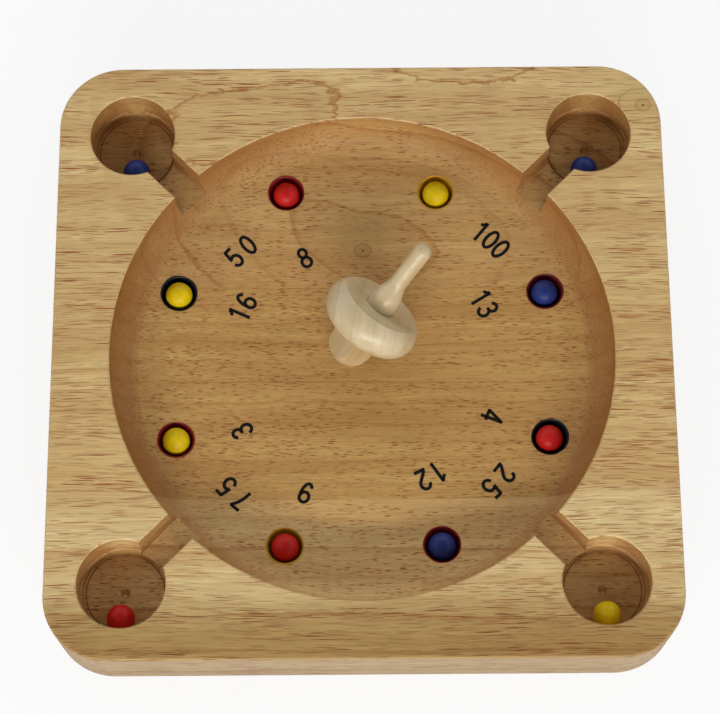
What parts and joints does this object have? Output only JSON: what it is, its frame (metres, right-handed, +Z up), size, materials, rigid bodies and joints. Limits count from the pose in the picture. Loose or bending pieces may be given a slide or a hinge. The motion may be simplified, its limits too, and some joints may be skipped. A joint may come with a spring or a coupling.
{
  "type": "spinning top board game",
  "caption": "Square wooden board with a turned dish, cups, corner pockets and slots, with painted balls and a wooden top that spins in the dish to knock the balls into them.",
  "frame": {"origin": "centre of the board's underside", "axes": "+X along the grain of the staves to the right, +Y to the far side, +Z up out of the dish"},
  "size_m": [0.28, 0.28, 0.0645],
  "materials": {
    "board_wood": "satin clear lacquer over straight-grained hardwood",
    "top_wood": "satin clear lacquer over pale hardwood",
    "red_paint": "gloss paint",
    "yellow_paint": "gloss paint",
    "blue_paint": "gloss paint"
  },
  "bodies": {
    "board": {"stave_far": "board_wood", "stave_middle": "board_wood", "stave_near": "board_wood"},
    "spinning_top": {"top_disc": "top_wood", "top_handle": "top_wood", "top_foot": "top_wood"},
    "red_ball_1": {"red_ball_1": "red_paint"},
    "red_ball_2": {"red_ball_2": "red_paint"},
    "red_ball_3": {"red_ball_3": "red_paint"},
    "red_ball_4": {"red_ball_4": "red_paint"},
    "yellow_ball_1": {"yellow_ball_1": "yellow_paint"},
    "yellow_ball_2": {"yellow_ball_2": "yellow_paint"},
    "yellow_ball_3": {"yellow_ball_3": "yellow_paint"},
    "yellow_ball_4": {"yellow_ball_4": "yellow_paint"},
    "blue_ball_1": {"blue_ball_1": "blue_paint"},
    "blue_ball_2": {"blue_ball_2": "blue_paint"},
    "blue_ball_3": {"blue_ball_3": "blue_paint"},
    "blue_ball_4": {"blue_ball_4": "blue_paint"}
  },
  "joints": [
    {"name": "top_spin", "type": "hinge", "parent": "board", "child": "spinning_top", "pos_m": [-0.0046, 0.008, 0.02589], "axis": [0.5618, 0.556, 0.6126], "continuous": true},
    {"name": "red_ball_1_lift", "type": "slide", "parent": "board", "child": "red_ball_1", "axis": [0, 0, 1], "range_m": [0, 0.06]},
    {"name": "red_ball_2_lift", "type": "slide", "parent": "board", "child": "red_ball_2", "axis": [0, 0, 1], "range_m": [0, 0.06]},
    {"name": "red_ball_3_lift", "type": "slide", "parent": "board", "child": "red_ball_3", "axis": [0, 0, 1], "range_m": [0, 0.06]},
    {"name": "red_ball_4_lift", "type": "slide", "parent": "board", "child": "red_ball_4", "axis": [0, 0, 1], "range_m": [0, 0.06]},
    {"name": "yellow_ball_1_lift", "type": "slide", "parent": "board", "child": "yellow_ball_1", "axis": [0, 0, 1], "range_m": [0, 0.06]},
    {"name": "yellow_ball_2_lift", "type": "slide", "parent": "board", "child": "yellow_ball_2", "axis": [0, 0, 1], "range_m": [0, 0.06]},
    {"name": "yellow_ball_3_lift", "type": "slide", "parent": "board", "child": "yellow_ball_3", "axis": [0, 0, 1], "range_m": [0, 0.06]},
    {"name": "yellow_ball_4_lift", "type": "slide", "parent": "board", "child": "yellow_ball_4", "axis": [0, 0, 1], "range_m": [0, 0.06]},
    {"name": "blue_ball_1_lift", "type": "slide", "parent": "board", "child": "blue_ball_1", "axis": [0, 0, 1], "range_m": [0, 0.06]},
    {"name": "blue_ball_2_lift", "type": "slide", "parent": "board", "child": "blue_ball_2", "axis": [0, 0, 1], "range_m": [0, 0.06]},
    {"name": "blue_ball_3_lift", "type": "slide", "parent": "board", "child": "blue_ball_3", "axis": [0, 0, 1], "range_m": [0, 0.06]},
    {"name": "blue_ball_4_lift", "type": "slide", "parent": "board", "child": "blue_ball_4", "axis": [0, 0, 1], "range_m": [0, 0.06]}
  ]
}
